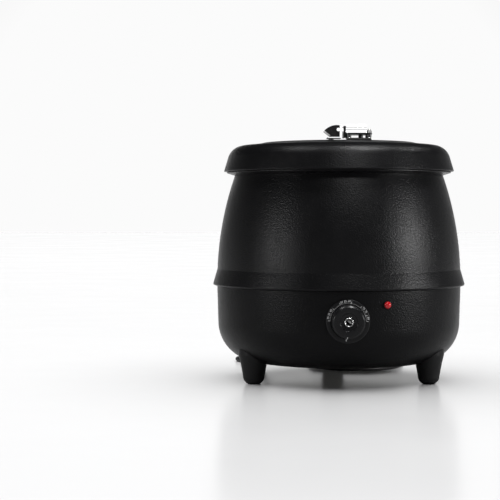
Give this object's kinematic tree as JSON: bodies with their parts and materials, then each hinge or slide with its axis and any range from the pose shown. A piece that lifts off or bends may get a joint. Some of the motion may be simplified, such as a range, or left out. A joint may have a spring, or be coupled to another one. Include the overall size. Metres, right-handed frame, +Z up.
{
  "type": "soup kettle",
  "caption": "Electric wet-heat soup kettle: black rounded casing on feet, lift-out stainless insert, hinged split lid with a chrome hinge and black grip, thermostat knob and lamp.",
  "frame": {"origin": "on the casing's axis, on the plane that the feet stand on", "axes": "+Z up, -Y to the front with the thermostat knob, +X to the user's right"},
  "size_m": [0.371, 0.5076, 0.3752],
  "materials": {
    "textured_black_paint": "fine grained black enamel, semi-matt",
    "stainless_steel": "spun stainless, satin",
    "polished_stainless": "polished stainless",
    "heater_steel": "heat-darkened steel",
    "aluminium_sheet": "mill finish",
    "zinc_steel": "zinc plated",
    "foot_rubber": "matt moulded",
    "control_plastic": "phenolic",
    "terminal_plastic": "off-white nylon",
    "dial_plastic": "satin with a white printed scale",
    "knob_plastic": "semi-gloss",
    "chrome": "bright plating",
    "copper": "copper",
    "red_lens": "translucent red",
    "wire_insulation": "silicone insulation",
    "lead_rubber": "matt sheath",
    "plug_plastic": "moulded"
  },
  "bodies": {
    "kettle": {"lower_casing": "textured_black_paint", "upper_casing": "textured_black_paint", "top_ring": "textured_black_paint", "water_well": "stainless_steel", "heater_ring": "heater_steel", "heater_clamp_plate": "aluminium_sheet", "heat_reflector": "aluminium_sheet", "tie_bolt": "zinc_steel", "tie_sleeve": "zinc_steel", "tie_nut": "zinc_steel", "base_plate": "zinc_steel", "base_screws": "zinc_steel", "foot_front_left": "foot_rubber", "foot_front_right": "foot_rubber", "foot_rear": "foot_rubber", "foot_screws": "zinc_steel", "foot_nuts": "zinc_steel", "thermostat_body": "control_plastic", "thermostat_nut": "zinc_steel", "dial_ring": "dial_plastic", "capillary_bulb": "copper", "capillary_tube": "copper", "thermal_cutout": "zinc_steel", "lamp_lens": "red_lens", "lamp_body": "control_plastic", "lamp_nut": "zinc_steel", "terminal_block": "terminal_plastic", "internal_wiring": "wire_insulation", "cable_gland": "lead_rubber", "mains_lead": "lead_rubber", "lead_coil": "lead_rubber", "plug": "plug_plastic"},
    "knob": {"knob": "knob_plastic", "knob_cap": "chrome", "thermostat_spindle": "zinc_steel"},
    "pot": {"insert_pot": "polished_stainless"},
    "lid": {"lid_fixed_half": "textured_black_paint", "seam_strip": "textured_black_paint", "hinge_gasket": "foot_rubber", "hinge_plate": "textured_black_paint", "hinge_housing": "chrome", "hinge_pin": "chrome", "hinge_screws": "zinc_steel", "hinge_spacers": "textured_black_paint", "hinge_nuts": "chrome"},
    "flap": {"lid_flap": "textured_black_paint", "hinge_leaf": "chrome", "grip": "knob_plastic", "grip_screws": "zinc_steel", "grip_spacers": "textured_black_paint"}
  },
  "joints": [
    {"name": "knob_turn", "type": "hinge", "parent": "kettle", "child": "knob", "pos_m": [0.0024, -0.19, 0.098], "axis": [0, 1, 0], "range_deg": [0, 270]},
    {"name": "pot_lift", "type": "slide", "parent": "kettle", "child": "pot", "axis": [0, 0, 1], "range_m": [0, 0.28]},
    {"name": "lid_lift", "type": "slide", "parent": "pot", "child": "lid", "axis": [0, 0, 1], "range_m": [0, 0.12]},
    {"name": "flap_hinge", "type": "hinge", "parent": "lid", "child": "flap", "pos_m": [-0.0015, 0, 0.3673], "axis": [0, 1, 0], "range_deg": [0, 100]}
  ]
}
